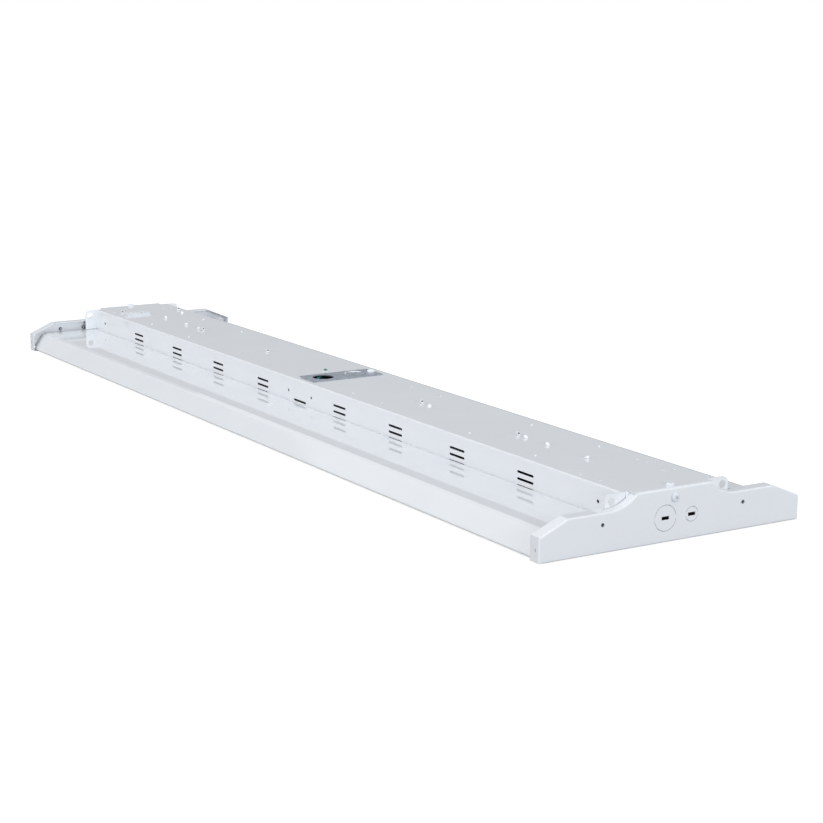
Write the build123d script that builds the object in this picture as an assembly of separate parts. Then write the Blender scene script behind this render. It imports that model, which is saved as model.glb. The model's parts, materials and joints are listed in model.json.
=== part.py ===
"""Linear LED high bay light, hung by four ears: a bent sheet channel between two lamp trays.

Millimetres. X runs along the light, Z is up, and the origin is centred under the end plates.
The near end is at +X. The left side is at -Y and the right side at +Y.
"""
from build123d import *
import math
import os

os.makedirs("parts", exist_ok=True)

# Overall sizes
length = 1116.0
width = 270.0

# Sheets, bends and running clearances
plate_sheet = 0.9
housing_sheet = 0.8
tray_sheet = 0.8
cover_sheet = 0.8
access_sheet = 0.9
bend_inside = 0.7
fit_gap = 0.3
screw_gap = 0.1

# End plate outline, from its bottom edge up
side_height = 21.4
chamfer_run = 28.5
shoulder_height = 33.5
crown_height = 45.0
crown_half = 38.4
curve_turn = 45.0

# End plate flanges, turned into the light
side_flange = 12.5
crown_flange = 14.0
curve_flange = 9.0
bottom_flange = 12.0
bottom_flange_inset = 2.0
corner_relief = 0.6
crown_relief = 2.0

# Sides of small round holes and pins, of heads and of knockouts, and the cut that rounds a slot's end
hole_sides = 6
head_sides = 10
knockout_sides = 24
slot_end_cut = 0.29

# Openings in the end plates: knockouts with a pry slot, and plain holes
knockout_slit = 0.35
knockout_tie = 2.6
large_knockout_radius = 11.1
large_knockout_y = -9.3
small_knockout_radius = 6.35
small_knockout_y = 18.2
knockout_z = 20.7
pry_slot_length = 7.8
pry_slot_width = 3.0
near_hole_y = 72.9
far_hole_ys = (64.0, 94.5)
face_hole_radius = 1.65
face_hole_z = 23.6
flange_hole_radius = 1.1
flange_hole_z = 10.6
flange_hole_inset = 4.7
corner_hole_radius = 0.9
corner_hole_inset = 5.7
corner_hole_zs = (3.7, 18.5)

# Channel housing
channel_width = 98.4
tongue_half = 40.2
tongue_back = 1.6
channel_back = 9.6
slit_width = 0.8
wall_notch = 0.5

# Suspension ears, turned out of the channel walls
ear_reach = 64.0
ear_lap = 8.2
ear_bottom_gap = 0.3
ear_top_drop = 0.3
ear_corner_radius = 6.0
ear_hole_radius = 3.4
ear_hole_y = 57.6
ear_hole_z = 38.7

# Vent slots in the channel walls
vent_length = 24.8
vent_width = 2.2
vent_first = 84.2
vent_pitch = 109.9
vent_groups = 4
vent_row_top = 32.7
vent_row_pitch = 6.3
vent_rows = 3
middle_vent_z = 23.7
middle_vent_length = 26.0
wall_hole_radius = 1.3
wall_hole_x = 24.8
wall_hole_z = 31.6
end_wall_hole_inset = 38.8
end_wall_hole_radius = 1.5

# Pierced holes in the channel top: distance from the end and from the centre line, on both sides
pierced_radius = 1.2
pierced_insets = (
    (50.0, 27.5),
    (50.0, 39.0),
    (76.0, 40.0),
    (84.0, 35.5),
    (95.0, 35.5),
    (415.5, 34.5),
    (471.0, 34.3),
)
far_pierced_insets = ((46.0, 27.5), (46.0, 39.0))

# Lamp trays
tray_side_gap = 2.0
tray_edge_run = 5.0
tray_edge_drop = 1.2
tray_top_height = 21.1
tray_slope = 54.6
tray_outer_lip = 11.0
tray_inner_lip = 8.8
tray_end_back = 5.0

# Lenses
lens_wall = 2.0
lens_leg_wall = 1.5
lens_leg_height = 6.5
lens_end_gap = 1.0
lens_corner = 1.2

# Channel cover
cover_leg_height = 9.0

# Access plate on the channel top
access_length = 35.4
access_back = 40.8
access_front = 40.0
access_corner = 1.5
cable_hole_radius = 11.1
cable_hole_y = -21.5
access_knockout_y = 17.0
access_tie_width = 3.2
access_screw_y = 36.5
access_tongue_width = 23.0
access_tongue_run = 1.9
access_tongue_reach = 5.0
opening_half_length = 14.0
opening_margin = 1.6
opening_corner = 3.0

# Screws
screw_radius = 1.9
head_radius = 4.1
head_height = 2.7
head_edge = 0.9
head_crown_radius = 2.6
screw_length = 9.0
top_screw_length = 5.6
face_screw_drop = 7.7
top_screw_inset = 6.4
top_screw_y = 0.0
tip_radius = 1.0
point_height = 1.6

# Ground screw
ground_x = -34.0
ground_radius = 2.1
ground_head_radius = 4.2
ground_head_height = 2.8
ground_tip = 2.0
ground_point_height = 1.0
ground_point_radius = 1.2

# LED boards and chips
board_thickness = 1.6
board_margin = 7.5
board_joint = 1.5
board_end_gap = 18.0
chip_length = 3.5
chip_width = 2.8
chip_height = 0.7
chips_per_row = 6
chip_row_offset = 11.0

# Drivers, each hung on four feet from the channel top, with room for wires above
driver_inset = 203.0
driver_screw_span = 105.0
driver_screw_y = 34.5
driver_length = 98.0
driver_half_width = 27.0
driver_height = 21.0
driver_drop = 11.0
driver_leg_height = 24.0
driver_foot_width = 9.0
driver_foot_edge = 4.5
driver_foot_sheet = 1.0
driver_corner = 1.2
driver_screw_radius = 1.1
driver_screw_head = 2.9
driver_screw_crown = 2.0
driver_screw_head_height = 1.9
driver_screw_tip = 0.9

# Nylon parts snapped into the channel top
nylon_y = -2.0
saddle_insets = (225.0, 393.0)
far_saddles = ((67.0, 38.7), (57.0, -33.5))
saddle_post = 2.2
saddle_height = 3.4
saddle_spread = 3.8
saddle_arm = 0.8
saddle_base = 9.0
saddle_base_thickness = 1.0
saddle_loop_height = 9.0
rivet_insets = (119.0, 178.0, 212.5)
fin_span = 4.2
fin_thickness = 1.0
fin_height = 2.7
rivet_stem = 1.3
rivet_head_radius = 4.0
rivet_head_thickness = 1.6
plug_radius = 2.1
plug_crown_radius = 1.2
plug_height = 1.8
plug_stem = 1.2
plug_depth = 2.4
plug_places = ((378.0, nylon_y),)
far_plug_places = ((91.0, 33.0),)

# Terminal strip at the far end
strip_inset = 76.0
strip_y = -21.0
strip_length = 31.5
strip_bar_width = 4.0
strip_bar_height = 2.2
strip_lobe_width = 4.2
strip_lobe_height = 3.6
strip_poles = 6
strip_body_depth = 9.0

# Rivets that join trays to channel
joint_rivet_radius = 1.6
joint_rivet_head = 2.8
joint_rivet_crown = 2.0
joint_rivet_head_height = 1.0
joint_rivet_z = 15.2
joint_rivet_pitch = 219.8

# Sizes that follow from the ones above
end_x = length / 2
driver_x = end_x - driver_inset
half_width = width / 2
bend_outside = bend_inside + plate_sheet
curve_radius = (crown_height - shoulder_height) / (1 - math.cos(math.radians(curve_turn)))
curve_y = crown_half + curve_radius * math.sin(math.radians(curve_turn))
curve_z = shoulder_height + curve_radius
wall_half = channel_width / 2
top_z = crown_height + housing_sheet
face_screw_z = crown_height - face_screw_drop
inner_half = wall_half - housing_sheet
tray_foot = half_width - tray_side_gap
tray_edge_z = tray_top_height - tray_edge_drop
tray_slope_top = tray_foot - (tray_edge_z - plate_sheet) / math.tan(math.radians(tray_slope))
tray_flat_end = tray_slope_top - tray_edge_run
tray_leg = wall_half + tray_sheet
channel_end = end_x - channel_back
tongue_end = end_x - tongue_back
lens_floor = plate_sheet + tray_sheet


def bent_section(points, sheet, inside):
    """Section of a bent sheet. The points run along one face, with the metal on their left."""
    steps = [(Vector(*b) - Vector(*a)).normalized() for a, b in zip(points, points[1:])]
    lefts = [Vector(-step.Y, step.X) for step in steps]
    first_radii = []
    second_radii = []
    second = [Vector(*points[0]) + lefts[0] * sheet]
    for index in range(1, len(points) - 1):
        before = lefts[index - 1]
        after = lefts[index]
        second.append(Vector(*points[index]) + (before + after) * (sheet / (1 + before.dot(after))))
        turns_left = steps[index - 1].cross(steps[index]).Z > 0
        first_radii.append(inside + sheet if turns_left else inside)
        second_radii.append(inside if turns_left else inside + sheet)
    second.append(Vector(*points[-1]) + lefts[-1] * sheet)
    first_side = FilletPolyline(*points, radius=first_radii)
    second_side = FilletPolyline(*[(v.X, v.Y) for v in second], radius=second_radii)
    start_edge = Line(first_side @ 0, second_side @ 0)
    end_edge = Line(first_side @ 1, second_side @ 1)
    return make_face([first_side, second_side, start_edge, end_edge])


def lengthwise(section, start, end):
    """Solid of a section drawn across the light, from one X to another."""
    return extrude(Plane.YZ.offset(start) * section, amount=end - start, dir=(1, 0, 0))


def block(xs, ys, zs):
    """Box between two places on each axis."""
    size = [abs(pair[1] - pair[0]) for pair in (xs, ys, zs)]
    middle = [sum(pair) / 2 for pair in (xs, ys, zs)]
    return Pos(*middle) * Box(*size)


def both_sides(solid):
    """A solid and its mirror image across the light."""
    return [solid, mirror(solid, about=Plane.XZ)]


def both_ends(solid):
    """A solid and its mirror image along the light."""
    return [solid, mirror(solid, about=Plane.YZ)]


def small_hole(radius):
    """Outline of a small round hole, with few sides that touch its circle from outside."""
    return RegularPolygon(radius, hole_sides, major_radius=False)


def pin(radius, low, high, sides=hole_sides):
    """Upright pin on the Z axis, with few sides inside its circle."""
    return Pos(0, 0, low) * extrude(RegularPolygon(radius, sides), amount=high - low, dir=(0, 0, 1))


def cone(radius, low, end_radius, high, sides=hole_sides):
    """Upright cone frustum on the Z axis, with few sides inside its circles."""
    rings = [Pos(0, 0, z) * RegularPolygon(size, sides) for z, size in ((low, radius), (high, end_radius))]
    return loft(rings, ruled=True)


def round_slot(slot_length, slot_width):
    """Outline of a slot with its round ends drawn by three sides each."""
    return chamfer(Rectangle(slot_length, slot_width).vertices(), slot_end_cut * slot_width)


def pan_screw(shank):
    """Pan-head screw along Z with its head above the XY plane and a pointed shank below."""
    head = pin(head_radius, 0, head_edge, head_sides)
    head += cone(head_radius, head_edge, head_crown_radius, head_height, head_sides)
    point = cone(tip_radius, -shank, screw_radius, point_height - shank)
    return head + pin(screw_radius, point_height - shank, 0) + point


def knockout_sketch(radius, tie):
    """Slits round a knockout that leave two ties, one each side."""
    outside = RegularPolygon(radius + knockout_slit / 2, knockout_sides)
    ring = outside - RegularPolygon(radius - knockout_slit / 2, knockout_sides)
    return ring - Rectangle(2 * radius + 2, tie)


def edge_plane(point, outward):
    """Plane across an edge of the near end plate: x points outward and y into the light."""
    return Plane(origin=(end_x, *point), x_dir=(0, *outward), z_dir=(0, -outward[1], outward[0]))


def along_edge(section, start, finish, trim):
    """Sweep a section along a straight edge of the outline, less a trim at both ends."""
    run = Vector(*finish) - Vector(*start)
    step = run.normalized()
    first = Vector(*start) + step * trim
    plane = edge_plane((first.X, first.Y), (step.Y, -step.X))
    return extrude(plane * section, amount=run.length - 2 * trim, dir=plane.z_dir)


def along_curve(section, trim):
    """Turn a section along the hollow curve between shoulder and crown, on the right side."""
    start = math.radians(-90)
    point = (curve_y + curve_radius * math.cos(start), curve_z + curve_radius * math.sin(start))
    plane = edge_plane(point, (-math.cos(start), -math.sin(start)))
    trim_angle = math.degrees(trim / curve_radius)
    axis = Axis((end_x, curve_y, curve_z), (1, 0, 0))
    solid = revolve(plane * section, axis=axis, revolution_arc=-(curve_turn - 2 * trim_angle))
    return solid.rotate(axis, -trim_angle)


def plate_outline():
    """Face of the end plate's outline in the YZ plane."""
    side = (half_width, side_height)
    chamfer_top = (half_width - chamfer_run, shoulder_height)
    half_turn = math.radians(-90 - curve_turn / 2)
    middle = (curve_y + curve_radius * math.cos(half_turn), curve_z + curve_radius * math.sin(half_turn))
    crown = (crown_half, crown_height)
    edges = [
        Polyline((-half_width, 0), (half_width, 0), side, chamfer_top, (curve_y, shoulder_height)),
        ThreePointArc((curve_y, shoulder_height), middle, crown),
        Line(crown, (-crown_half, crown_height)),
        ThreePointArc((-crown_half, crown_height), (-middle[0], middle[1]), (-curve_y, shoulder_height)),
        Polyline((-curve_y, shoulder_height), (-chamfer_top[0], shoulder_height), (-half_width, side_height),
                 (-half_width, 0)),
    ]
    return make_face(edges)


def flange_section(depth):
    """Section of the bend and one flange of the end plate."""
    inset = 2 * bend_outside
    return bent_section([(-inset, 0), (0, 0), (0, depth)], plate_sheet, bend_inside)


def curve_section(depth):
    """Section of the flange at the hollow curve, with its bend drawn by three flats."""
    turns = [math.radians(-90 + step * 30) for step in range(4)]
    centre = (-bend_outside, bend_outside)
    outer = [(centre[0] + bend_outside * math.cos(turn), centre[1] + bend_outside * math.sin(turn))
             for turn in turns]
    inner = [(centre[0] + bend_inside * math.cos(turn), centre[1] + bend_inside * math.sin(turn))
             for turn in reversed(turns)]
    start = -2 * bend_outside
    return make_face(Polyline((start, 0), *outer, (0, depth), (-plate_sheet, depth), *inner, (start, plate_sheet),
                              close=True))


def end_plate_blank():
    """Near end plate with its flanges and no holes."""
    face = extrude(Plane.YZ.offset(end_x) * plate_outline(), amount=plate_sheet, dir=(-1, 0, 0))
    bottom = ((-half_width, 0), (half_width, 0))
    side = ((half_width, 0), (half_width, side_height))
    slope = (side[1], (half_width - chamfer_run, shoulder_height))
    shoulder = (slope[1], (curve_y, shoulder_height))
    crown = ((crown_half, crown_height), (-crown_half, crown_height))
    room = Pos((1 - bend_outside) / 2, 0) * Rectangle(bend_outside + 1, 4 * plate_sheet)
    for cut in [along_edge(room, *edge, 0) for edge in (side, slope, shoulder)] + [along_curve(room, 0)]:
        for twin in both_sides(cut):
            face -= twin
    face -= along_edge(room, *bottom, 0)
    face -= along_edge(room, *crown, 0)
    right = along_curve(curve_section(curve_flange), corner_relief)
    for edge in (side, slope, shoulder):
        right += along_edge(flange_section(side_flange), *edge, corner_relief)
    plate = face + right + mirror(right, about=Plane.XZ)
    plate += along_edge(flange_section(bottom_flange), *bottom, bottom_flange_inset)
    return plate + along_edge(flange_section(crown_flange), *crown, crown_relief)


def face_holes(hole_places):
    """Cutter for the knockouts, the screw hole and the plain holes of an end plate."""
    shapes = Pos(large_knockout_y, knockout_z) * knockout_sketch(large_knockout_radius, knockout_tie)
    shapes += Pos(small_knockout_y, knockout_z) * knockout_sketch(small_knockout_radius, knockout_tie)
    for place in (large_knockout_y, small_knockout_y):
        shapes += Pos(place, knockout_z) * Rectangle(pry_slot_length, pry_slot_width)
    shapes += Pos(0, face_screw_z) * small_hole(screw_radius + screw_gap)
    for radius, y, z in hole_places:
        shapes += [Pos(side * y, z) * small_hole(radius) for side in (-1, 1)]
    return lengthwise(shapes, end_x - 2 * plate_sheet, end_x + plate_sheet)


def near_face_places():
    """Radius, Y and Z of the plain holes in the near end plate."""
    return [(face_hole_radius, near_hole_y, face_hole_z)]


def far_face_places():
    """Radius, Y and Z of the plain holes in the far end plate."""
    places = [(face_hole_radius, y, face_hole_z) for y in far_hole_ys]
    return places + [(corner_hole_radius, half_width - corner_hole_inset, z) for z in corner_hole_zs]


def flange_holes():
    """Cutter for the hole in each side flange and the screw hole in the crown flange."""
    side_hole = Plane.XZ * Pos(end_x - flange_hole_inset, flange_hole_z) * small_hole(flange_hole_radius)
    crown_hole = Plane.XY.offset(crown_height) * Pos(end_x - top_screw_inset, top_screw_y) * small_hole(
        screw_radius + screw_gap)
    return extrude(side_hole, amount=width, both=True), extrude(crown_hole, amount=2 * plate_sheet, both=True)


def end_plate(hole_places):
    """Near end plate with all its holes."""
    plate = end_plate_blank() - face_holes(hole_places)
    for cutter in flange_holes():
        plate -= cutter
    return plate


def ear():
    """Right near ear: a bend out of the wall and a plate across the wall's end, with a rounded corner."""
    bottom = tray_top_height + ear_bottom_gap
    bend_top = top_z - housing_sheet - bend_inside
    bend_start = channel_end - 3 * housing_sheet
    path = [(bend_start, inner_half), (channel_end, inner_half), (channel_end, ear_hole_y - ear_hole_radius)]
    bend = bent_section(path, housing_sheet, bend_inside)
    solid = Pos(0, 0, bottom) * extrude(bend, amount=bend_top - bottom, dir=(0, 0, 1))
    inner_edge = wall_half - ear_lap
    blank = Pos((inner_edge + ear_reach) / 2, (bottom + top_z - ear_top_drop) / 2) * Rectangle(
        ear_reach - inner_edge, top_z - ear_top_drop - bottom)
    outer_corner = blank.vertices().sort_by_distance((ear_reach, top_z, 0))[0]
    blank = fillet(outer_corner, ear_corner_radius) - Pos(ear_hole_y, ear_hole_z) * Circle(ear_hole_radius)
    return solid + lengthwise(blank, channel_end - housing_sheet, channel_end)


def vent_cutter():
    """Cutter for the vent slots and small holes in both channel walls."""
    vent = round_slot(vent_length, vent_width)
    shapes = Pos(0, middle_vent_z) * round_slot(middle_vent_length, vent_width)
    for group in range(vent_groups):
        for row in range(vent_rows):
            place = (vent_first + group * vent_pitch, vent_row_top - row * vent_row_pitch)
            shapes += [Pos(side * place[0], place[1]) * vent for side in (-1, 1)]
    for side in (-1, 1):
        shapes += Pos(side * wall_hole_x, wall_hole_z) * small_hole(wall_hole_radius)
        shapes += Pos(side * (end_x - end_wall_hole_inset), wall_hole_z) * small_hole(end_wall_hole_radius)
        for place in joint_rivet_places():
            shapes += Pos(side * place, joint_rivet_z) * small_hole(joint_rivet_radius + screw_gap)
    return extrude(Plane.XZ * shapes, amount=wall_half + 2 * housing_sheet, both=True)


def joint_rivet_places():
    """X of the rivets that join tray and channel, in one half of the light."""
    count = int((end_x - vent_first) // joint_rivet_pitch)
    return [vent_first + vent_pitch / 2 + step * joint_rivet_pitch for step in range(count)]


def pierced_places():
    """X and distance from the centre line of the pierced holes."""
    near = [(end_x - inset, y) for inset, y in pierced_insets]
    return near + [(inset - end_x, y) for inset, y in far_pierced_insets]


def driver_screw_places():
    """Places of the four screws of the near driver."""
    return [(driver_x + along * driver_screw_span / 2, across * driver_screw_y)
            for along in (-1, 1) for across in (-1, 1)]


def top_cutter():
    """Cutter for everything that is pierced through the channel top."""
    shapes = Sketch()
    for x, y in pierced_places():
        shapes += [Pos(x, side * y) * small_hole(pierced_radius) for side in (-1, 1)]
    for x, y in driver_screw_places():
        shapes += [Pos(end * x, y) * small_hole(driver_screw_radius + screw_gap) for end in (-1, 1)]
    for x, y in saddle_places():
        shapes += Pos(x, y) * small_hole(saddle_post / 2 + fit_gap)
    for x in rivet_places():
        shapes += Pos(x, nylon_y) * small_hole(rivet_stem + screw_gap)
    for x, y in plug_spots():
        shapes += Pos(x, y) * small_hole(plug_stem + screw_gap)
    for side in (-1, 1):
        shapes += Pos(side * (end_x - top_screw_inset), top_screw_y) * small_hole(screw_radius + screw_gap)
    shapes += Pos(ground_x, 0) * small_hole(ground_radius + screw_gap)
    shapes += Pos(0, access_screw_y) * small_hole(screw_radius + screw_gap)
    shapes += strip_opening(fit_gap)
    front = cable_hole_y - cable_hole_radius - opening_margin
    back = access_knockout_y + cable_hole_radius + opening_margin
    opening = RectangleRounded(2 * opening_half_length, back - front, opening_corner)
    shapes += Pos(0, (front + back) / 2) * opening
    slit = (-access_front - access_tongue_run - access_sheet, -access_front + access_sheet)
    shapes += Pos(0, sum(slit) / 2) * Rectangle(access_tongue_width + 2 * fit_gap, slit[1] - slit[0])
    return Pos(0, 0, crown_height - housing_sheet) * extrude(shapes, amount=3 * housing_sheet, dir=(0, 0, 1))


def saddle_places():
    """Places of the wire saddles: two in each half, and two more at the far end."""
    places = [(side * (end_x - inset), nylon_y) for inset in saddle_insets for side in (-1, 1)]
    return places + [(inset - end_x, y) for inset, y in far_saddles]


def rivet_places():
    """X of the nylon push rivets along the middle."""
    return [side * (end_x - inset) for inset in rivet_insets for side in (-1, 1)]


def plug_spots():
    """Places of the hole plugs."""
    near = [(end_x - inset, y) for inset, y in plug_places]
    return near + [(inset - end_x, y) for inset, y in far_plug_places]


def strip_opening(gap):
    """Opening for the body of the terminal strip."""
    x = strip_inset - end_x
    body = (strip_bar_width + strip_lobe_width - 2 * housing_sheet, strip_length - 4 * housing_sheet)
    return Pos(x, strip_y) * Rectangle(body[0] + 2 * gap, body[1] + 2 * gap)


def channel_housing():
    """Bent channel with its end tongues, ears, vents and pierced holes."""
    foot = plate_sheet
    bend_low = top_z - housing_sheet - bend_inside
    outline = [(wall_half, foot), (wall_half, top_z), (-wall_half, top_z), (-wall_half, foot)]
    body = lengthwise(bent_section(outline, housing_sheet, bend_inside), -channel_end, channel_end)
    ear_room = block((channel_end - 3 * housing_sheet, channel_end + 1), (inner_half - 0.1, wall_half + 0.1),
                     (tray_top_height - wall_notch, bend_low))
    corner = block((channel_end - housing_sheet - slit_width, channel_end + 1),
                   (tongue_half, wall_half + 0.1), (bend_low - 0.1, top_z + 1))
    tongue = block((channel_end - 1, tongue_end), (-tongue_half, tongue_half), (crown_height, top_z))
    skirt = block((channel_end - 1, tongue_end), (inner_half, wall_half),
                  (foot, tray_top_height - wall_notch))
    for cut in (ear_room, corner):
        for twin in both_sides(cut):
            for copy in both_ends(twin):
                body -= copy
    for copy in both_ends(tongue):
        body += copy
    for part in (skirt, ear()):
        for twin in both_sides(part):
            for copy in both_ends(twin):
                body += copy
    return body - vent_cutter() - top_cutter()


def wing_tray():
    """Right lamp tray: bent sheet that carries the boards and holds the lens on two lips."""
    outline = [
        (tray_foot - tray_outer_lip, plate_sheet),
        (tray_foot, plate_sheet),
        (tray_slope_top, tray_edge_z),
        (tray_flat_end, tray_top_height),
        (wall_half, tray_top_height),
        (wall_half, plate_sheet),
        (wall_half + tray_inner_lip, plate_sheet),
    ]
    tray_end = end_x - tray_end_back
    tray = lengthwise(bent_section(outline, tray_sheet, bend_inside), -tray_end, tray_end)
    holes = Sketch()
    for side in (-1, 1):
        holes += [Pos(side * x, joint_rivet_z) * small_hole(joint_rivet_radius + screw_gap)
                  for x in joint_rivet_places()]
    return tray - extrude(Plane.XZ.offset(-tray_leg - 1) * holes, amount=3 * tray_sheet + 1, dir=(0, -1, 0))


def lens():
    """Right lens: a flat diffuser with two upright legs, laid on the lips of the tray."""
    lean = 1 / math.tan(math.radians(tray_slope))
    slope_shift = (tray_sheet + fit_gap) / math.sin(math.radians(tray_slope))
    inner = tray_leg + fit_gap
    outer = tray_foot - slope_shift - tray_sheet * lean - bend_outside
    top = lens_floor + lens_leg_height
    floor_top = lens_floor + lens_wall
    leg = outer - lens_leg_wall / math.sin(math.radians(tray_slope))
    corners = [(inner, lens_floor), (outer, lens_floor), (outer - lens_leg_height * lean, top),
               (leg - lens_leg_height * lean, top), (leg - lens_wall * lean, floor_top),
               (inner + lens_leg_wall, floor_top), (inner + lens_leg_wall, top), (inner, top)]
    section = make_face(Polyline(*corners, close=True))
    under = [section.vertices().sort_by_distance((*corner, 0))[0] for corner in corners[:2]]
    lens_end = end_x - plate_sheet - lens_end_gap
    return lengthwise(fillet(under, lens_corner), -lens_end, lens_end)


def channel_cover():
    """Cover under the channel, with two upright legs inside the walls."""
    side = inner_half - fit_gap
    top = plate_sheet + cover_leg_height
    outline = [(-side, top), (-side, plate_sheet), (side, plate_sheet), (side, top)]
    cover_end = end_x - bend_outside
    return lengthwise(bent_section(outline, cover_sheet, bend_inside), -cover_end, cover_end)


def access_plate():
    """Plate over the wiring opening, hooked at the front and screwed at the back."""
    high = top_z + access_sheet
    blank = Pos(0, (access_back - access_front) / 2) * RectangleRounded(
        access_length, access_back + access_front, access_corner)
    blank -= Pos(0, cable_hole_y) * Circle(cable_hole_radius)
    blank -= Pos(0, access_knockout_y) * knockout_sketch(cable_hole_radius, access_tie_width)
    blank -= Pos(0, access_screw_y) * small_hole(screw_radius + screw_gap)
    plate = Pos(0, 0, top_z) * extrude(blank, amount=access_sheet, dir=(0, 0, 1))
    under = crown_height - fit_gap
    run = access_tongue_run
    path = [(-access_front - run - access_tongue_reach, under), (-access_front - run, under),
            (-access_front, high), (-access_front + 2 * access_sheet, high)]
    hook = bent_section(path[::-1], access_sheet, bend_inside / 2)
    half = access_tongue_width / 2
    return plate + lengthwise(hook, -half, half)


def ground_screw():
    """Ground screw driven from inside, with its point through the channel top."""
    head = pin(ground_head_radius, crown_height - ground_head_height, crown_height, 6)
    tip = top_z + ground_tip
    shank = pin(ground_radius, crown_height, tip - ground_point_height)
    point = cone(ground_radius, tip - ground_point_height, ground_point_radius, tip)
    return Pos(ground_x, 0, 0) * (Rot(0, 0, 30) * head + shank + point)


def board(side, end):
    """LED board glued under the flat of a tray."""
    ys = (side * (tray_leg + board_margin), side * (tray_flat_end - board_margin))
    xs = (end * board_joint, end * (end_x - board_end_gap))
    roof = tray_top_height - tray_sheet
    return block(xs, ys, (roof - board_thickness, roof))


def chips(side):
    """Two rows of LED chips under each board of one tray."""
    roof = tray_top_height - tray_sheet - board_thickness
    middle = side * (tray_leg + tray_flat_end) / 2
    pitch = (end_x - board_end_gap - board_joint) / chips_per_row
    pieces = []
    for step in range(chips_per_row):
        x = board_joint + (step + 0.5) * pitch
        for row in (-chip_row_offset, chip_row_offset):
            for end in (-1, 1):
                pieces.append(Pos(end * x, middle + row, roof - chip_height / 2)
                              * Box(chip_length, chip_width, chip_height))
    return pieces


def driver():
    """Near driver: a closed case hung from the channel top by four bent legs."""
    xs = (driver_x - driver_length / 2, driver_x + driver_length / 2)
    case_top = crown_height - driver_drop
    case = block(xs, (-driver_half_width, driver_half_width), (case_top - driver_height, case_top))
    solid = chamfer(case.edges().filter_by(Axis.X), driver_corner)
    leg_y = (driver_half_width, driver_half_width + driver_foot_sheet)
    foot_y = (driver_half_width, driver_screw_y + driver_foot_edge)
    for end in (-1, 1):
        outer = driver_x + end * (driver_screw_span / 2 + driver_foot_edge)
        leg_x = (outer, outer - end * 2 * driver_foot_width)
        foot_x = (outer, outer - end * driver_foot_width)
        leg = block(leg_x, leg_y, (crown_height - driver_leg_height, case_top))
        leg += block(foot_x, leg_y, (crown_height - driver_leg_height, crown_height))
        foot = block(foot_x, foot_y, (crown_height - driver_foot_sheet, crown_height))
        for twin in both_sides(leg + foot):
            solid += twin
    for x, y in driver_screw_places():
        hole = Pos(x, y) * small_hole(driver_screw_radius + screw_gap)
        solid -= Plane.XY.offset(crown_height) * extrude(hole, amount=2 * driver_foot_sheet, both=True)
    return solid


def driver_screws():
    """Screws that hold the near driver, driven from inside."""
    seat = crown_height - driver_foot_sheet
    tip = top_z + driver_screw_tip
    head = cone(driver_screw_crown, seat - driver_screw_head_height, driver_screw_head, seat)
    screw = head + pin(driver_screw_radius, seat, tip)
    return [Pos(x, y, 0) * screw for x, y in driver_screw_places()]


def wire_saddle():
    """Nylon saddle: a loop for the wires under the channel top and a barbed head above it."""
    seat = crown_height
    half_base = saddle_base / 2
    low = seat - saddle_loop_height
    post = pin(saddle_post / 2, seat - saddle_base_thickness, top_z + saddle_height)
    loop = block((-saddle_post, saddle_post), (-half_base, half_base), (low, seat))
    inside = saddle_base_thickness
    loop -= block((-saddle_base, saddle_base), (inside - half_base, half_base - inside),
                  (low + inside, seat - inside))
    spread = saddle_spread / 2
    tip = top_z + saddle_height
    arm = Polyline((0, tip), (saddle_arm, tip), (spread + saddle_arm, top_z + fit_gap),
                   (spread, top_z + fit_gap), (0, tip - saddle_arm), close=True)
    wing = extrude(Plane.XZ * make_face(arm), amount=saddle_post / 2, both=True)
    return post + loop + wing + mirror(wing, about=Plane.YZ)


def push_rivet():
    """Nylon push rivet with a head under the channel top and a four-finned tip above it."""
    seat = crown_height
    head = pin(rivet_head_radius, seat - rivet_head_thickness, seat)
    tip = top_z + fin_height
    base = top_z + fit_gap
    stem = pin(rivet_stem, seat, base)
    outline = Polyline((-fin_span / 2, base), (fin_span / 2, base), (fin_thickness / 2, tip),
                       (-fin_thickness / 2, tip), close=True)
    fin = extrude(Plane.XZ * make_face(outline), amount=fin_thickness / 2, both=True)
    return head + stem + fin + Rot(0, 0, 90) * fin


def hole_plug():
    """Nylon plug with a low round head on the channel top."""
    head = cone(plug_radius, top_z, plug_crown_radius, top_z + plug_height, head_sides)
    return pin(plug_stem, top_z - plug_depth, top_z) + head


def terminal_strip():
    """Terminal strip set in the channel top, with a flat bar beside a row of round lobes."""
    x = strip_inset - end_x
    middle = x + (strip_lobe_width - strip_bar_width) / 2
    ys = (strip_y - strip_length / 2, strip_y + strip_length / 2)
    bar = block((middle, middle + strip_bar_width), ys, (top_z, top_z + strip_bar_height))
    pitch = strip_length / strip_poles
    lobe_base = top_z + strip_lobe_height - pitch / 2
    lobes = Sketch()
    for pole in range(strip_poles):
        lobes += Pos(ys[0] + (pole + 0.5) * pitch, lobe_base) * RegularPolygon(pitch / 2, head_sides)
    lobes += Pos(strip_y, (top_z + lobe_base) / 2) * Rectangle(strip_length, lobe_base - top_z)
    lobes -= Pos(strip_y, top_z - pitch) * Rectangle(2 * strip_length, 2 * pitch)
    core = extrude(strip_opening(0), amount=strip_body_depth, dir=(0, 0, 1))
    body = Pos(0, 0, top_z - strip_body_depth) * core
    return bar + body + lengthwise(lobes, middle - strip_lobe_width, middle)


def joint_rivet():
    """Rivet through channel wall and tray leg, with its heads on both sides, along Y."""
    inner = cone(joint_rivet_crown, inner_half - joint_rivet_head_height, joint_rivet_head, inner_half)
    outer = cone(joint_rivet_head, tray_leg, joint_rivet_crown, tray_leg + joint_rivet_head_height)
    rivet = inner + pin(joint_rivet_radius, inner_half, tray_leg) + outer
    return Pos(0, 0, joint_rivet_z) * Rot(-90, 0, 0) * rivet


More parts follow.
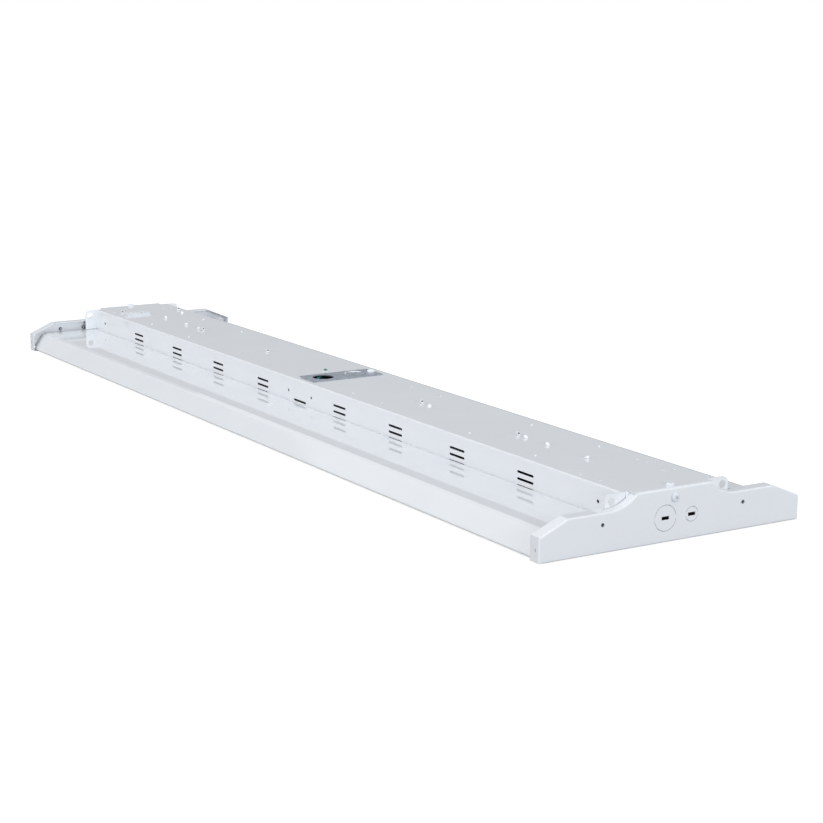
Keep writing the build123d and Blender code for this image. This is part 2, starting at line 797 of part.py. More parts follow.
def joint_rivets():
    """All rivets between the trays and the channel."""
    pieces = []
    for x in joint_rivet_places():
        for end in (-1, 1):
            pieces += both_sides(Pos(end * x, 0, 0) * joint_rivet())
    return pieces


def write(name, *solids):
    """Write one node from its separate solids."""
    pieces = [solid for item in solids for solid in item.solids()]
    export_step(pieces[0] if len(pieces) == 1 else Compound(children=pieces), f"parts/{name}.step")


write("channel_housing", channel_housing())
write("end_plate_near", end_plate(near_face_places()))
write("end_plate_far", mirror(end_plate(far_face_places()), about=Plane.YZ))

tray_right = wing_tray()
write("wing_tray_right", tray_right)
write("wing_tray_left", mirror(tray_right, about=Plane.XZ))

lens_right = lens()
write("lens_right", lens_right)
write("lens_left", mirror(lens_right, about=Plane.XZ))

write("channel_cover", channel_cover())
write("access_plate", access_plate())
write("access_plate_screw", Pos(0, access_screw_y, top_z + access_sheet) * pan_screw(screw_length))
write("ground_screw", ground_screw())

face_screw = Pos(end_x, 0, face_screw_z) * Rot(0, 90, 0) * pan_screw(screw_length)
write("end_face_screws", *both_ends(face_screw))
top_screw = Pos(end_x - top_screw_inset, top_screw_y, top_z) * pan_screw(top_screw_length)
write("end_top_screws", *both_ends(top_screw))

for side_name, side in (("left", -1), ("right", 1)):
    for end_name, end in (("near", 1), ("far", -1)):
        write(f"led_board_{side_name}_{end_name}", board(side, end))
    write(f"led_chips_{side_name}", *chips(side))

driver_body = driver()
write("driver_near", driver_body)
write("driver_far", mirror(driver_body, about=Plane.YZ))
write("driver_screws", *[copy for screw in driver_screws() for copy in both_ends(screw)])

write("wire_saddles", *[Pos(x, y, 0) * wire_saddle() for x, y in saddle_places()])
write("push_rivets", *[Pos(x, nylon_y, 0) * push_rivet() for x in rivet_places()])
write("hole_plugs", *[Pos(x, y, 0) * hole_plug() for x, y in plug_spots()])
write("terminal_strip", terminal_strip())
write("tray_rivets", *joint_rivets())
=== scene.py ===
"""Looks of the linear LED high bay light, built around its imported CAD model.

Everything is in metres in the model's own frame: X along the light, Z up. The near end is at +X and the left
side, which faces the camera, is at -Y.
"""

import json
import logging
import math
from collections.abc import Sequence
from dataclasses import dataclass
from enum import Enum

import bmesh
import bpy
from bpy.types import ID, Material, Mesh, Node, NodeSocket, NodeTree, Object
from mathutils import Matrix, Vector

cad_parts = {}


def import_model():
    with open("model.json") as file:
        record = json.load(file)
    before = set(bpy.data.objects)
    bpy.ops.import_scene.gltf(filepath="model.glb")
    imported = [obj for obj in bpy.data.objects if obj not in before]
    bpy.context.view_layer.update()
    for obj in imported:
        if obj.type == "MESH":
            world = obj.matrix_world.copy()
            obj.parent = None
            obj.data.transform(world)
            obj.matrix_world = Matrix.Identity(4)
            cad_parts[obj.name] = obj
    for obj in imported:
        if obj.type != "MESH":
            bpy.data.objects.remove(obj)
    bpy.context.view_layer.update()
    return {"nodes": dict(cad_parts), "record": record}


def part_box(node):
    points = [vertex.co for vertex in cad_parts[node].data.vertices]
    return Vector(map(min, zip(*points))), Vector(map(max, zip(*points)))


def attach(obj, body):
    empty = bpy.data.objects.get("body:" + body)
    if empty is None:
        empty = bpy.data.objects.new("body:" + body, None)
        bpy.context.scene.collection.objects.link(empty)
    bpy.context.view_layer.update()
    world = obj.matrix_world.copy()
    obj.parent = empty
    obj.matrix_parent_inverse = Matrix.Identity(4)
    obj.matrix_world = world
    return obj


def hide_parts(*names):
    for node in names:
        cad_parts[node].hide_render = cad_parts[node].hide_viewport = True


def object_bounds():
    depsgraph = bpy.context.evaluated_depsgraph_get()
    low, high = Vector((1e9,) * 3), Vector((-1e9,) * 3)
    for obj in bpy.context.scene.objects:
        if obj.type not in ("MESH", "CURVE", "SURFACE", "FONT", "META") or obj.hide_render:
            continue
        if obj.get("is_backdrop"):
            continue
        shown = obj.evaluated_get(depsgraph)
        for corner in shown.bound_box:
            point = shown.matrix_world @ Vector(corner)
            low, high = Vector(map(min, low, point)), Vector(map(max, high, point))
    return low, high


logger = logging.getLogger("high_bay_light")

MM = 0.001
NOISE_RANGE = (0.3, 0.7)
MERGE_DISTANCE = 0.0001 * MM
SHARP_ANGLE = math.radians(40)
BEVEL_ANGLE = math.radians(35)

Colour = tuple[float, float, float]
Point = tuple[float, float, float]
Pair = tuple[float, float]


class Slot(Enum):
    """Material slots of the record."""

    PAINT = "white_paint"
    GALVANISED = "galvanised"
    PAINTED_SCREWS = "painted_screws"
    ZINC_SCREWS = "zinc_screws"
    GROUND_GREEN = "ground_green"
    DIFFUSER = "diffuser"
    BOARD = "board_white"
    PHOSPHOR = "led_yellow"
    DRIVER_CASE = "driver_case"
    NYLON = "white_nylon"
    RIVETS = "rivet_aluminium"


class NodeKit:
    """Short ways to add and join the nodes of one tree."""

    def __init__(self, tree: NodeTree) -> None:
        """Start from an empty tree."""
        self.tree = tree
        self.tree.nodes.clear()

    def link(self, start: NodeSocket, end: NodeSocket) -> None:
        """Join two sockets."""
        self.tree.links.new(start, end)

    def add(self, kind: str, inputs: dict[str | int, object] | None = None, **settings: object) -> Node:
        """Add one node and fill its inputs.

        Args:
            kind: Blender's name of the node type.
            inputs: a value, or the socket that gives it, for each input by name or number.
            settings: properties to set on the node.

        Returns:
            The new node.
        """
        node = self.tree.nodes.new(kind)
        for key, value in settings.items():
            setattr(node, key, value)
        for key, source in (inputs or {}).items():
            if isinstance(source, NodeSocket):
                self.link(source, node.inputs[key])
            else:
                node.inputs[key].default_value = source
        return node

    def plain(self, kind: str, colour: Colour, strength: float = 1.0) -> Node:
        """Add a background, emission or matt shader of one colour.

        Args:
            kind: Blender's name of the node type.
            colour: its colour.
            strength: its strength, where it has one.

        Returns:
            The new node.
        """
        node = self.add(kind, {"Color": (*colour, 1.0)})
        if "Strength" in node.inputs:
            node.inputs["Strength"].default_value = strength
        return node

    def show(self, shader: Node, kind: str = "ShaderNodeOutputMaterial") -> None:
        """Send a shader to a new output of a material or the world."""
        self.add(kind, {"Surface": shader.outputs[0]})


class ShaderKit(NodeKit):
    """The nodes of one material, with Object coordinates at hand."""

    def __init__(self, material: Material) -> None:
        """Empty the material's tree and add its output, surface shader and coordinates.

        Args:
            material: the material to fill.
        """
        material.use_nodes = True
        super().__init__(material.node_tree)
        self.surface = self.add("ShaderNodeBsdfPrincipled")
        self.show(self.surface)
        self.place = self.add("ShaderNodeTexCoord").outputs["Object"]

    def set(self, **values: float) -> None:
        """Set number sockets of the surface shader by name, with _ for a space."""
        for key, value in values.items():
            self.surface.inputs[key.replace("_", " ")].default_value = value

    def noise(self, scale: float, detail: float = 2.0) -> NodeSocket:
        """Noise from 0 to 1 over the piece, with so many features per metre."""
        texture = self.add("ShaderNodeTexNoise", {"Scale": scale, "Detail": detail, "Vector": self.place})
        return texture.outputs["Fac"]

    def cells(self, scale: float) -> NodeSocket:
        """Random colour of cells over the piece, so many per metre."""
        return self.add("ShaderNodeTexVoronoi", {"Scale": scale, "Vector": self.place}).outputs["Color"]

    def spread(self, value: NodeSocket, low: float = 0.0, high: float = 1.0) -> NodeSocket:
        """Map the middle of a 0 to 1 value to a range.

        Args:
            value: the value.
            low: result at the low end of NOISE_RANGE.
            high: result at its high end.

        Returns:
            The mapped value.
        """
        ranged = self.add("ShaderNodeMapRange", {"From Min": NOISE_RANGE[0], "From Max": NOISE_RANGE[1],
                                                 "To Min": low, "To Max": high, "Value": value})
        return ranged.outputs["Result"]

    def mixed(self, value: NodeSocket, under: NodeSocket | Colour, over: Colour) -> None:
        """Colour the surface between two colours by a value.

        Args:
            value: 0 for the first colour and 1 for the second.
            under: the first colour, or the socket that gives it.
            over: the second colour.
        """
        mix = self.add("ShaderNodeMix", data_type="RGBA")
        colours = [socket for socket in mix.inputs if socket.type == "RGBA"]
        if isinstance(under, tuple):
            colours[0].default_value = (*under, 1.0)
        else:
            self.link(under, colours[0])
        colours[1].default_value = (*over, 1.0)
        self.link(value, mix.inputs[0])
        result = [socket for socket in mix.outputs if socket.type == "RGBA"]
        self.link(result[0], self.surface.inputs["Base Color"])

    def inside(self, half: Pair, low: float, high: float) -> NodeSocket:
        """One inside a box that is centred in X and Y, else zero.

        Args:
            half: half of the box's length and width.
            low: bottom of the box.
            high: top of the box.

        Returns:
            The mask.
        """
        axes = self.add("ShaderNodeSeparateXYZ", {0: self.place})
        mask = 1.0
        for axis, middle, reach in (("X", 0.0, half[0]), ("Y", 0.0, half[1]),
                                    ("Z", (low + high) / 2, (high - low) / 2)):
            near = self.add("ShaderNodeMath", {0: axes.outputs[axis], 1: middle, 2: reach},
                            operation="COMPARE")
            both = self.add("ShaderNodeMath", {0: mask, 1: near.outputs[0]}, operation="MULTIPLY")
            mask = both.outputs[0]
        return mask

    def overlay(self, mask: NodeSocket, colour: Colour) -> None:
        """Lay a colour over the surface's own colour where a mask is one."""
        self.mixed(mask, self.surface.inputs["Base Color"].links[0].from_socket, colour)

    def roughen(self, value: NodeSocket) -> None:
        """Drive the surface's roughness."""
        self.link(value, self.surface.inputs["Roughness"])

    def bump(self, height: NodeSocket, strength: float, distance: float) -> None:
        """Raise the surface by a height from 0 to 1, where 1 is a distance in metres."""
        node = self.add("ShaderNodeBump", {"Strength": strength, "Distance": distance, "Height": height})
        self.link(node.outputs["Normal"], self.surface.inputs["Normal"])


@dataclass(frozen=True)
class Finish:
    """One surface finish, which makes its material once.

    The noises of colour, roughness and bump are given by their scale and detail.
    """

    name: str
    light: Colour
    dark: Colour
    smooth: float = 0.30
    dull: float = 0.42
    metallic: float = 0.0
    clear: float = 0.0
    ior: float = 1.5
    contrast: Pair = (0.0, 1.0)
    cloud: Pair = (60.0, 3.0)
    sheen: Pair = (220.0, 2.0)
    grain: Pair = (900.0, 2.0)
    grain_strength: float = 0.2
    grain_height: float = 0.02 * MM

    def drives(self, kit: ShaderKit) -> tuple[NodeSocket, NodeSocket]:
        """Make the values that drive the colour and the roughness."""
        return kit.noise(*self.cloud), kit.noise(*self.sheen)

    def dress(self, kit: ShaderKit) -> None:
        """Fill the material's nodes.

        Args:
            kit: the material's nodes.
        """
        kit.set(IOR=self.ior, Metallic=self.metallic, Transmission_Weight=self.clear)
        colour, roughness = self.drives(kit)
        kit.mixed(kit.spread(colour, *self.contrast), self.dark, self.light)
        kit.roughen(kit.spread(roughness, self.smooth, self.dull))
        kit.bump(kit.noise(*self.grain), self.grain_strength, self.grain_height)

    def material(self) -> Material:
        """Make the finish's material on first use.

        Returns:
            The material.
        """
        found = bpy.data.materials.get(self.name)
        if found is None:
            found = bpy.data.materials.new(self.name)
            self.dress(ShaderKit(found))
        return found


@dataclass(frozen=True)
class GlossPaint(Finish):
    """Powder paint baked on sheet metal, glossy, with a faint orange peel.

    Each shade box gives the half length and half width, and the bottom and top, of a space inside the
    channel where the colour is darkened to paint the shade that falls there.
    """

    name: str = "gloss_paint"
    light: Colour = (0.82, 0.84, 0.87)
    dark: Colour = (0.80, 0.82, 0.852)
    smooth: float = 0.02
    dull: float = 0.05
    cloud: Pair = (14.0, 3.0)
    sheen: Pair = (55.0, 3.0)
    grain: Pair = (500.0, 1.0)
    grain_strength: float = 0.08
    grain_height: float = 0.01 * MM
    # Painted shade: a dark colour laid over the paint inside the channel, where only shade falls.
    shade_colour: Colour = (0.10, 0.11, 0.125)
    shade_boxes: tuple[tuple[Pair, Pair], ...] = (
        ((0.543, 0.04917), (0.0018, 0.0438)), ((0.543, 0.0475), (0.0438, 0.0454)))

    def dress(self, kit: ShaderKit) -> None:
        """Fill the material's nodes and lay the painted shade colour over its shade boxes.

        Args:
            kit: the material's nodes.
        """
        super().dress(kit)
        # Painted shade: darken the paint inside the channel.
        for half, heights in self.shade_boxes:
            kit.overlay(kit.inside(half, *heights), self.shade_colour)


@dataclass(frozen=True)
class GalvanisedSheet(Finish):
    """Zinc-coated sheet with a fine spangle."""

    name: str = "galvanised_sheet"
    light: Colour = (0.56, 0.61, 0.69)
    dark: Colour = (0.43, 0.48, 0.56)
    smooth: float = 0.34
    dull: float = 0.46
    metallic: float = 0.85
    contrast: Pair = (0.2, 0.8)
    grain: Pair = (1200.0, 3.0)
    grain_strength: float = 0.3
    spangle_scale: float = 260.0

    def drives(self, kit: ShaderKit) -> tuple[NodeSocket, NodeSocket]:
        """Take both values from the random colour of the spangle's cells."""
        spangle = kit.add("ShaderNodeSeparateColor", {"Color": kit.cells(self.spangle_scale)})
        return spangle.outputs["Red"], spangle.outputs["Green"]


@dataclass(frozen=True)
class PlatedMetal(Finish):
    """Plated or uncoated metal of a fastener, with fine turning marks."""

    smooth: float = 0.25
    dull: float = 0.40
    metallic: float = 1.0
    cloud: Pair = (300.0, 4.0)
    sheen: Pair = (900.0, 2.0)
    grain: Pair = (2200.0, 2.0)
    grain_strength: float = 0.3


@dataclass(frozen=True)
class MouldedPlastic(Finish):
    """Moulded plastic with a faint flow pattern."""

    ior: float = 1.49


FINISHES: dict[Slot, Finish] = {
    Slot.PAINT: GlossPaint(),
    Slot.GALVANISED: GalvanisedSheet(),
    Slot.PAINTED_SCREWS: GlossPaint("painted_screw_heads", (0.78, 0.81, 0.85), (0.74, 0.77, 0.82),
                                    shade_boxes=()),
    Slot.ZINC_SCREWS: PlatedMetal("zinc_plate", (0.80, 0.83, 0.87), (0.68, 0.71, 0.76), 0.16, 0.26),
    Slot.GROUND_GREEN: PlatedMetal("green_ground_screw", (0.10, 0.26, 0.21), (0.05, 0.17, 0.14),
                                   metallic=0.3),
    Slot.DIFFUSER: MouldedPlastic("frosted_diffuser", (0.93, 0.94, 0.95), (0.90, 0.91, 0.92), 0.45, 0.55,
                                  clear=0.55),
    Slot.BOARD: MouldedPlastic("board_mask", (0.90, 0.91, 0.90), (0.86, 0.87, 0.86)),
    Slot.PHOSPHOR: MouldedPlastic("phosphor", (0.88, 0.76, 0.30), (0.80, 0.66, 0.22), 0.15, 0.25),
    Slot.DRIVER_CASE: GlossPaint("driver_enamel", (0.30, 0.31, 0.33), (0.26, 0.27, 0.29), 0.3, 0.42,
                                 shade_boxes=()),
    Slot.NYLON: MouldedPlastic("white_nylon", (0.78, 0.80, 0.83), (0.74, 0.765, 0.80)),
    Slot.RIVETS: PlatedMetal("bare_aluminium", (0.75, 0.76, 0.78), (0.66, 0.67, 0.69)),
}
NODE_FINISHES: dict[str, Finish] = {
    "terminal_strip": MouldedPlastic("dull_nylon", (0.72, 0.75, 0.785), (0.68, 0.71, 0.745), 0.5, 0.6),
}
# Pale zinc for the screws; the knockout rim's crescents also take it as a painted highlight.
PALE_ZINC_AND_RIM_HIGHLIGHT = PlatedMetal("pale_screw_tips", (0.86, 0.88, 0.91), (0.80, 0.82, 0.86), 0.3, 0.4, metallic=0.0)
LEAD_INSULATION = MouldedPlastic("lead_insulation", (0.10, 0.58, 0.60), (0.06, 0.48, 0.50))
SHADE_GREY = MouldedPlastic("saddle_opening_shade", (0.10, 0.13, 0.16), (0.07, 0.10, 0.13), 0.5, 0.6)
# Steel collars coloured a dark bluish grey, which paints the shade inside the end plates' plain holes.
HOLE_SHADE_STEEL = PlatedMetal("bare_steel_collar", (0.36, 0.40, 0.46), (0.28, 0.31, 0.37), 0.4, 0.55)


def put(name: str, data: ID) -> Object:
    """Add an object to the scene at the origin.

    Args:
        name: name of the object.
        data: its mesh, curve, camera or light.

    Returns:
        The new object.
    """
    item = bpy.data.objects.new(name, data)
    bpy.context.scene.collection.objects.link(item)
    return item


def finished_mesh(item: Object) -> Mesh:
    """Make the mesh of an object with its modifiers applied."""
    graph = bpy.context.evaluated_depsgraph_get()
    return bpy.data.meshes.new_from_object(item.evaluated_get(graph), depsgraph=graph)


class GeometryTree(NodeKit):
    """A Geometry Nodes tree under construction, with named inputs."""

    def __init__(self, name: str) -> None:
        """Start the tree with its geometry input and output.

        Args:
            name: name of the tree.
        """
        super().__init__(bpy.data.node_groups.new(name, "GeometryNodeTree"))
        self.tree.interface.new_socket("Places", in_out="INPUT", socket_type="NodeSocketGeometry")
        self.tree.interface.new_socket("Result", in_out="OUTPUT", socket_type="NodeSocketGeometry")
        self.values: dict[str, float] = {}
        self.source = self.add("NodeGroupInput")
        self.target = self.add("NodeGroupOutput")

    def size(self, name: str, value: float) -> NodeSocket:
        """Add a named number input.

        Args:
            name: name of the input.
            value: value that the modifier gives it.

        Returns:
            The input's socket inside the tree.
        """
        self.tree.interface.new_socket(name, in_out="INPUT", socket_type="NodeSocketFloat")
        self.values[name] = value
        return self.source.outputs[name]

    def places(self) -> NodeSocket:
        """Geometry whose points say where the pieces go."""
        return self.source.outputs["Places"]

    def close(self, geometry: NodeSocket, material: Material) -> None:
        """End the tree in Realize Instances and Set Material.

        Args:
            geometry: what the tree made.
            material: its material.
        """
        real = self.add("GeometryNodeRealizeInstances", {"Geometry": geometry})
        paint = self.add("GeometryNodeSetMaterial", {
            "Geometry": real.outputs["Geometry"], "Material": material})
        self.link(paint.outputs["Geometry"], self.target.inputs[0])

    def make(self, name: str, points: Sequence[Point]) -> Object:
        """Run the tree over some points and keep the result as a plain mesh.

        Args:
            name: name of the new object.
            points: where the pieces go.

        Returns:
            The new object, at the origin.
        """
        seeds = bpy.data.meshes.new(name + "_places")
        seeds.from_pydata([tuple(point) for point in points], [], [])
        carrier = put(name + "_carrier", seeds)
        modifier = carrier.modifiers.new("build", "NODES")
        modifier.node_group = self.tree
        for item in self.tree.interface.items_tree:
            if item.in_out == "INPUT" and item.name in self.values:
                modifier[item.identifier] = self.values[item.name]
        bpy.context.view_layer.update()
        mesh = finished_mesh(carrier)
        mesh.name = name
        bpy.data.objects.remove(carrier)
        return put(name, mesh)


def settle(piece: Object) -> Object:
    """Let a finished piece ride on the light.

    Args:
        piece: the piece, at the origin.

    Returns:
        The same piece.
    """
    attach(piece, "root")
    logger.info("%s: %d faces", piece.name, len(piece.data.polygons))
    return piece


def solid(name: str, vertices: Sequence[Point], faces: Sequence[Sequence[int]]) -> Object:
    """Make a mesh object with its faces turned outward and its double points merged.

    Args:
        name: name of the object.
        vertices: its points.
        faces: indices of the points round each face.

    Returns:
        The new object, at the origin.
    """
    mesh = bpy.data.meshes.new(name)
    mesh.from_pydata([tuple(vertex) for vertex in vertices], [], [tuple(face) for face in faces])
    work = bmesh.new()
    work.from_mesh(mesh)
    bmesh.ops.remove_doubles(work, verts=work.verts, dist=MERGE_DISTANCE)
    bmesh.ops.recalc_face_normals(work, faces=work.faces)
    work.to_mesh(mesh)
    work.free()
    return put(name, mesh)


def walls(rows: int, steps: int) -> list[tuple[int, ...]]:
    """Faces between closed rows of points.

    Args:
        rows: number of rows.
        steps: points in each row.

    Returns:
        Indices of the points round each face.
    """
    return [(row * steps + k, row * steps + (k + 1) % steps,
             (row + 1) * steps + (k + 1) % steps, (row + 1) * steps + k)
            for row in range(rows - 1) for k in range(steps)]


def revolved(name: str, profile: Sequence[Pair], steps: int = 36) -> Object:
    """Turn a profile about Z.

    Args:
        name: name of the object.
        profile: radius and height of each point; a closed ring repeats its first point.
        steps: points round the axis.

    Returns:
        The turned piece.
    """
    angles = [2 * math.pi * step / steps for step in range(steps)]
    vertices = [(radius * math.cos(angle), radius * math.sin(angle), height)
                for radius, height in profile for angle in angles]
    return solid(name, vertices, walls(len(profile), steps))


def prism(name: str, outline: Sequence[Pair], depth: float) -> Object:
    """Extrude an outline along Y, centred on Y = 0.

    Args:
        name: name of the object.
        outline: X and Z of its corners.
        depth: its size in Y.

    Returns:
        The extruded piece.
    """
    count = len(outline)
    vertices = [(x, side * depth / 2, z) for side in (-1, 1) for x, z in outline]
    caps = [tuple(range(count)), tuple(range(2 * count - 1, count - 1, -1))]
    return solid(name, vertices, caps + walls(2, count))


def ring(name: str, radius: float, wire: float, steps: int = 40, sides: int = 10) -> Object:
    """Ring of round wire about Z.

    Args:
        name: name of the object.
        radius: radius of the wire's middle line.
        wire: radius of the wire.
        steps: points round the axis.
        sides: points round the wire.

    Returns:
        The ring.
    """
    turns = [2 * math.pi * k / sides for k in range(sides + 1)]
    section = [(radius + wire * math.cos(turn), wire * math.sin(turn)) for turn in turns]
    return revolved(name, section, steps)


def altered(piece: Object, kind: str, **settings: object) -> Object:
    """Run one modifier over a piece and keep the result as a plain mesh.

    Args:
        piece: the piece.
        kind: Blender's name of the modifier type.
        settings: properties to set on the modifier.

    Returns:
        The same piece.
    """
    modifier = piece.modifiers.new("alter", kind)
    for key, value in settings.items():
        setattr(modifier, key, value)
    mesh = finished_mesh(piece)
    piece.modifiers.clear()
    piece.data = mesh
    return piece


def carve(body: Object, cutter: Object) -> Object:
    """Cut one closed mesh out of another.

    Args:
        body: what is cut.
        cutter: what is taken away; it is deleted afterwards.

    Returns:
        The body.
    """
    altered(body, "BOOLEAN", operation="DIFFERENCE", solver="EXACT", object=cutter)
    bpy.data.objects.remove(cutter)
    return body


def soften(piece: Object, width: float, segments: int) -> Object:
    """Round the sharp edges of a piece to a width, in so many segments."""
    return altered(piece, "BEVEL", width=width, segments=segments, limit_method="ANGLE",
                   angle_limit=BEVEL_ANGLE)


def moved(piece: Object, place: Point, axis: Point = (0, 0, 1), turn: float = 0.0) -> Object:
    """Move a mesh so that its Z axis points along an axis from a place.

    Args:
        piece: the piece to move.
        place: where its origin goes.
        axis: where its Z goes.
        turn: turn about its own Z, in degrees.

    Returns:
        The same piece, with its object still at the origin.
    """
    lean = Vector((0, 0, 1)).rotation_difference(Vector(axis)).to_matrix().to_4x4()
    piece.data.transform(Matrix.Translation(place) @ lean @ Matrix.Rotation(math.radians(turn), 4, "Z"))
    return piece


def joined(name: str, pieces: Sequence[Object]) -> Object:
    """Join pieces into one mesh.

    Args:
        name: name of the new piece.
        pieces: what is joined; they are deleted afterwards.

    Returns:
        The new piece.
    """
    work = bmesh.new()
    for piece in pieces:
        work.from_mesh(piece.data)
        bpy.data.objects.remove(piece)
    mesh = bpy.data.meshes.new(name)
    work.to_mesh(mesh)
    work.free()
    return put(name, mesh)


def painted(piece: Object, slot: Slot, finish: Finish | None = None) -> Object:
    """Give a piece its finish and smooth shading up to a sharp angle, and settle it on the light.

    Args:
        piece: the piece.
        slot: the record's slot it belongs to.
        finish: its finish, if it isn't the slot's own.

    Returns:
        The same piece.
    """
    piece.data.materials.clear()
    piece.data.materials.append((finish or FINISHES[slot]).material())
    piece.data.polygons.foreach_set("use_smooth", [True] * len(piece.data.polygons))
    piece.data.set_sharp_from_angle(angle=SHARP_ANGLE)
    return settle(piece)


def spread(name: str, shape: Object, points: Sequence[Point], slot: Slot, turn: float = 0.0,
           finish: Finish | None = None) -> Object:
    """Repeat a shape over points through Geometry Nodes.

    Args:
        name: name of the new piece.
        shape: what is repeated; it is deleted afterwards.
        points: where the copies go.
        slot: the record's slot of the copies.
        turn: turn of each copy about Z, in degrees.
        finish: their finish, if it isn't the slot's own.

    Returns:
        The new piece.
    """
    tree = GeometryTree(name + "_spread")
    angle = tree.size("Turn", math.radians(turn))
    scale = tree.size("Scale", 1.0)
    source = tree.add("GeometryNodeObjectInfo", {"Object": shape})
    euler = tree.add("ShaderNodeCombineXYZ", {"Z": angle})
    rotation = tree.add("FunctionNodeEulerToRotation", {"Euler": euler.outputs["Vector"]})
    copies = tree.add("GeometryNodeInstanceOnPoints", {
        "Points": tree.places(), "Instance": source.outputs["Geometry"],
        "Rotation": rotation.outputs["Rotation"], "Scale": scale})
    tree.close(copies.outputs["Instances"], (finish or FINISHES[slot]).material())
    piece = tree.make(name, points)
    bpy.data.objects.remove(shape)
    return painted(piece, slot, finish)


def channel_top() -> float:
    """Height of the channel's top face."""
    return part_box("channel_housing")[1].z


def half_length() -> float:
    """Distance from the light's middle to the outer face of an end plate."""
    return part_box("end_plate_near")[1].x


@dataclass(frozen=True)
class PanHeadScrew:
    """Pan-head screw with a cross recess, its seat at the origin and its head along +Z."""

    head: float = 4.1 * MM
    height: float = 2.7 * MM
    shank: float = 1.9 * MM
    length: float = 9.0 * MM
    tip: float = 1.0 * MM
    tip_length: float = 1.6 * MM
    recess: float = 1.9 * MM
    recess_width: float = 0.95 * MM
    recess_depth: float = 1.5 * MM
    recess_taper: float = 0.55
    blade_top: float = 1.2
    dome: tuple[Pair, ...] = (
        (0.0, 1.0), (0.30, 0.985), (0.55, 0.93), (0.76, 0.82), (0.90, 0.64), (0.98, 0.40), (1.0, 0.18),
        (0.97, 0.0))

    def profile(self) -> list[Pair]:
        """Draw the screw's half section.

        Returns:
            Radius and height from the crown down to the tip.
        """
        dome = [(self.head * share, self.height * rise) for share, rise in self.dome]
        foot = self.tip_length - self.length
        return dome + [(self.shank, 0.0), (self.shank, foot), (self.tip, -self.length), (0.0, -self.length)]

    def make(self, name: str) -> Object:
        """Make the screw.

        Args:
            name: name of the object.

        Returns:
            The screw as one mesh.
        """
        body = revolved(name, self.profile())
        low, high = self.height - self.recess_depth, self.height * self.blade_top
        foot = self.recess * self.recess_taper
        outline = [(-self.recess, high), (-foot, low), (foot, low), (self.recess, high)]
        for turn in (0, 90):
            blade = prism("blade", outline, self.recess_width)
            carve(body, moved(blade, (0, 0, 0), turn=turn))
        return body


@dataclass(frozen=True)
class Fasteners:
    """Screws that show: smooth ones stand in for the many-sided ones of the frame."""

    recess_turn: float = 22.0
    driver_head: float = 2.9 * MM
    driver_shank: float = 1.1 * MM
    driver_tip: float = 0.9 * MM
    driver_tip_shape: tuple[Pair, ...] = ((0.0, 0.0), (0.45, 0.08 * MM), (0.8, 0.3 * MM), (1.0, 0.7 * MM))
    driver_head_shape: tuple[Pair, ...] = ((1.0, 0.0), (0.97, 0.8 * MM), (0.7, 1.9 * MM), (0.0, 1.9 * MM))
    driver_foot: float = 1.0 * MM
    driver_inset: float = 203.0 * MM
    driver_span: float = 105.0 * MM
    driver_y: float = 34.5 * MM
    sheet: float = 0.8 * MM
    top_screw_length: float = 5.6 * MM
    ground_tip: float = 2.0 * MM
    rim_radius: float = 3.0 * MM
    rim_wire: float = 0.4 * MM
    rim_lift: float = 0.15 * MM

    def end_screws(self) -> None:
        """One screw in the face and one in the crown of each end plate."""
        for node, axis_z, screw in (("end_face_screws", False, PanHeadScrew()),
                                    ("end_top_screws", True, PanHeadScrew(length=self.top_screw_length))):
            low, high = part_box(node)
            y = (low.y + high.y) / 2
            pieces = []
            for end in (-1, 1):
                x = end * (high.x - (screw.head if axis_z else screw.height))
                z = high.z - (screw.height if axis_z else (high.z - low.z) / 2)
                axis = (0, 0, 1) if axis_z else (end, 0, 0)
                pieces.append(moved(screw.make("screw"), (x, y, z), axis, self.recess_turn))
            piece = painted(joined(node + "_smooth", pieces), Slot.PAINTED_SCREWS)
            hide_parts(node)

    def plate_screw(self) -> None:
        """Bright screw that holds the access plate."""
        low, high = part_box("access_plate_screw")
        screw = PanHeadScrew(length=high.z - low.z - PanHeadScrew.height)
        place = ((low.x + high.x) / 2, (low.y + high.y) / 2, high.z - screw.height)
        piece = painted(moved(screw.make("access_plate_screw_smooth"), place, turn=self.recess_turn),
                        Slot.ZINC_SCREWS, PALE_ZINC_AND_RIM_HIGHLIGHT)
        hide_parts("access_plate_screw")

    def driver_screws(self) -> None:
        """Screws that hold the drivers from inside, with their round tips above the channel top."""
        top = channel_top()
        seat = top - self.sheet - self.driver_foot
        middle = half_length() - self.driver_inset
        tip = top + self.driver_tip
        profile = [(share * self.driver_shank, tip - drop) for share, drop in self.driver_tip_shape]
        profile.append((self.driver_shank, seat))
        profile += [(share * self.driver_head, seat - drop) for share, drop in self.driver_head_shape]
        points = [(side * (middle + along * self.driver_span / 2), across * self.driver_y, 0.0)
                  for side in (-1, 1) for along in (-1, 1) for across in (-1, 1)]
        screw = revolved("driver_screw", profile, steps=20)
        piece = spread("driver_screws_smooth", screw, points, Slot.ZINC_SCREWS, finish=PALE_ZINC_AND_RIM_HIGHLIGHT)
        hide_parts("driver_screws")

    def ground(self) -> None:
        """Raised rim round the hole of the green ground screw."""
        low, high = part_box("ground_screw")
        top = high.z - self.ground_tip
        place = ((low.x + high.x) / 2, (low.y + high.y) / 2, top + self.rim_lift)
        painted(moved(ring("ground_hole_rim", self.rim_radius, self.rim_wire), place), Slot.PAINT)

    def build(self) -> None:
        """Make every fastener."""
        self.end_screws()
        self.plate_screw()
        self.driver_screws()
        self.ground()


